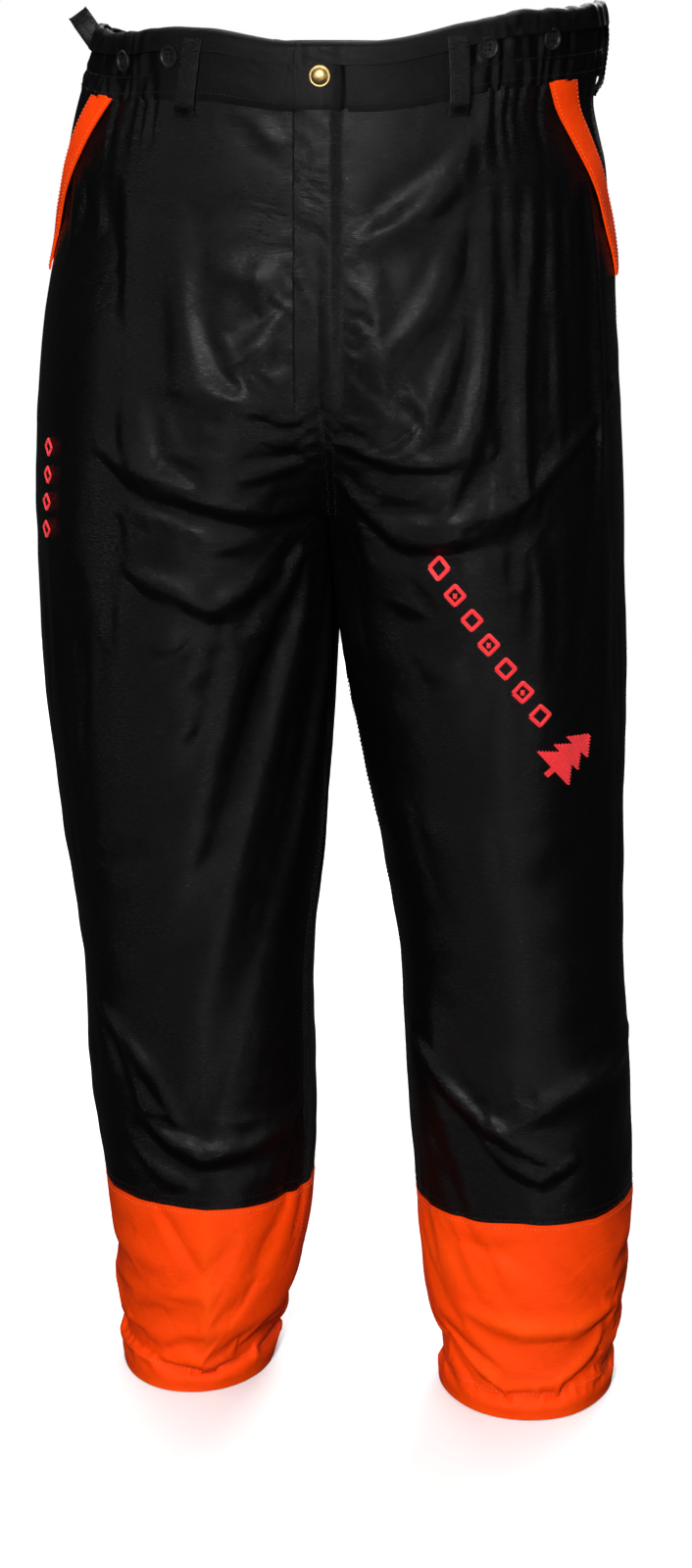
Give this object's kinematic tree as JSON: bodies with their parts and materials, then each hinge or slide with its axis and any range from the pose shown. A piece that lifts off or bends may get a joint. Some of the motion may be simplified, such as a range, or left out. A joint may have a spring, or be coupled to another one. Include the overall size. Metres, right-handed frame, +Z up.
{
  "type": "chainsaw protective trousers",
  "caption": "Chainsaw protective trousers standing open as worn, with padded legs, coloured cuffs and pocket edges, waistband, zip fly and brace buttons.",
  "frame": {"origin": "middle of the waist opening at the waist edge", "axes": "+Z up along the legs to the waist, -Y towards the front, +X towards the wearer's left"},
  "size_m": [0.4592, 0.2923, 1.056],
  "materials": {
    "face": "black satin-faced woven nylon on the front panels, waistband and pocket",
    "back": "matte dark grey-black woven cotton-polyester back and inside leg",
    "orange": "signal-orange coated weave with a slight sheen",
    "pad": "layered long-fibre cut-protection knit",
    "lining": "thin plain-weave lining",
    "elastic": "woven elastic",
    "thread_red": "satin-stitched embroidery thread",
    "zip_tape": "herringbone zip tape",
    "brass": "aged brass",
    "button": "black four-hole button"
  },
  "bodies": {
    "seat": {"belt_loop_back_left": "face", "belt_loop_back_middle": "face", "belt_loop_back_right": "face", "belt_loop_front_left": "face", "belt_loop_front_right": "face", "belt_loop_side_left": "face", "belt_loop_side_right": "face", "brace_buttons": "button", "fly_facing": "face", "fly_underlap": "face", "pocket_bag_left": "lining", "pocket_bag_right": "lining", "pocket_trim_left": "orange", "pocket_trim_right": "orange", "rear_pocket": "back", "seat_back_left": "back", "seat_back_right": "back", "seat_front_left": "face", "seat_front_right": "face", "side_motif_right": "thread_red", "stud_back_plate": "brass", "stud_post": "brass", "waist_elastic_left": "elastic", "waist_elastic_right": "elastic", "waistband_back": "face", "waistband_left": "face", "waistband_lining": "lining", "waistband_right": "face", "waistband_underlap": "face", "zip_stops": "brass", "zip_tapes": "zip_tape", "zip_teeth": "brass"},
    "fly_flap": {"fly_flap": "face", "waistband_overlap": "face", "stud_cap": "brass", "stud_socket": "brass"},
    "zip_slider": {"zip_slider": "brass"},
    "zip_pull": {"zip_pull": "brass"},
    "rear_pocket_flap": {"rear_pocket_flap": "back"},
    "thigh_right": {"thigh_front_right": "face", "thigh_back_right": "back", "hip_fold_right": "face", "knee_fold_right": "face", "protective_pad_right": "pad", "leg_lining_right": "lining"},
    "shin_right": {"shin_front_right": "face", "shin_back_right": "back", "cuff_front_right": "orange", "cuff_back_right": "orange"},
    "thigh_left": {"thigh_front_left": "face", "thigh_back_left": "back", "hip_fold_left": "face", "knee_fold_left": "face", "protective_pad_left": "pad", "leg_lining_left": "lining", "thigh_motif_left": "thread_red"},
    "shin_left": {"shin_front_left": "face", "shin_back_left": "back", "cuff_front_left": "orange", "cuff_back_left": "orange"}
  },
  "joints": [
    {"name": "hip_right", "type": "hinge", "parent": "seat", "child": "thigh_right", "pos_m": [0, 0, -0.4], "axis": [-1, 0, 0], "range_deg": [-15, 60], "deforming": ["hip_fold_right", "protective_pad_right", "leg_lining_right"]},
    {"name": "knee_right", "type": "hinge", "parent": "thigh_right", "child": "shin_right", "pos_m": [0, 0, -0.69], "axis": [1, 0, 0], "range_deg": [0, 80], "deforming": ["knee_fold_right"]},
    {"name": "hip_left", "type": "hinge", "parent": "seat", "child": "thigh_left", "pos_m": [0, 0, -0.4], "axis": [-1, 0, 0], "range_deg": [-15, 60], "deforming": ["hip_fold_left", "protective_pad_left", "leg_lining_left", "thigh_motif_left"]},
    {"name": "knee_left", "type": "hinge", "parent": "thigh_left", "child": "shin_left", "pos_m": [0, 0, -0.69], "axis": [1, 0, 0], "range_deg": [0, 80], "deforming": ["knee_fold_left"]},
    {"name": "fly_flap_fold", "type": "hinge", "parent": "seat", "child": "fly_flap", "pos_m": [0.016, -0.1312, 0], "axis": [0, 0.0314, 0.9995], "range_deg": [0, 90]},
    {"name": "zip_run", "type": "slide", "parent": "seat", "child": "zip_slider", "axis": [0, -0.0314, -0.9995], "range_m": [0, 0.16]},
    {"name": "pull_swing", "type": "hinge", "parent": "zip_slider", "child": "zip_pull", "pos_m": [0, -0.12781, -0.05463], "axis": [-1, 0, 0], "range_deg": [0, 6]},
    {"name": "rear_flap_fold", "type": "hinge", "parent": "seat", "child": "rear_pocket_flap", "pos_m": [-0.10124, 0.13064, -0.118], "axis": [0.933, 0.3599, 0], "range_deg": [0, 100]}
  ]
}
